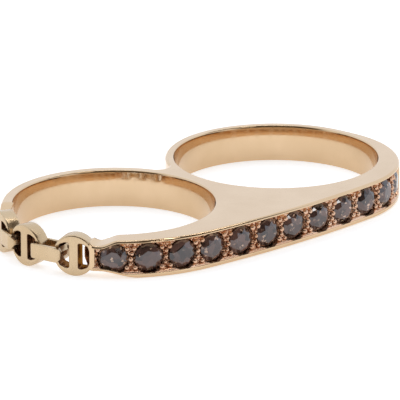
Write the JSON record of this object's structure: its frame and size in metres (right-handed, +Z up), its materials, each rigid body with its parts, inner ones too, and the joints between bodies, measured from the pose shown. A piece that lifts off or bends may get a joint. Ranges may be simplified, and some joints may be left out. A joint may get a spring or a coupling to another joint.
{
  "type": "two finger ring",
  "caption": "Two finger ring: two joined rose gold bands under a gently bowed bar of brown stones, with a short chain of stud links and flat cross links closing one band.",
  "frame": {"origin": "under the middle of the ring's box, on the flat side that it rests on", "axes": "+X from the smaller finger hole to the larger one, +Y away from the stones to the notch between the bands, +Z up along the fingers"},
  "size_m": [0.0383, 0.0208, 0.0034],
  "materials": {
    "rose_gold": "polished rose gold",
    "link_gold": "lightly brushed rose gold",
    "brown_stone": "cut and polished brown diamond"
  },
  "bodies": {
    "root": {"ring_body": "rose_gold", "stud_link": "link_gold", "cross_link_1": "link_gold", "cross_link_2": "link_gold", "stone_01": "brown_stone", "stone_02": "brown_stone", "stone_03": "brown_stone", "stone_04": "brown_stone", "stone_05": "brown_stone", "stone_06": "brown_stone", "stone_07": "brown_stone", "stone_08": "brown_stone", "stone_09": "brown_stone", "stone_10": "brown_stone", "stone_11": "brown_stone", "stone_12": "brown_stone"}
  },
  "joints": []
}
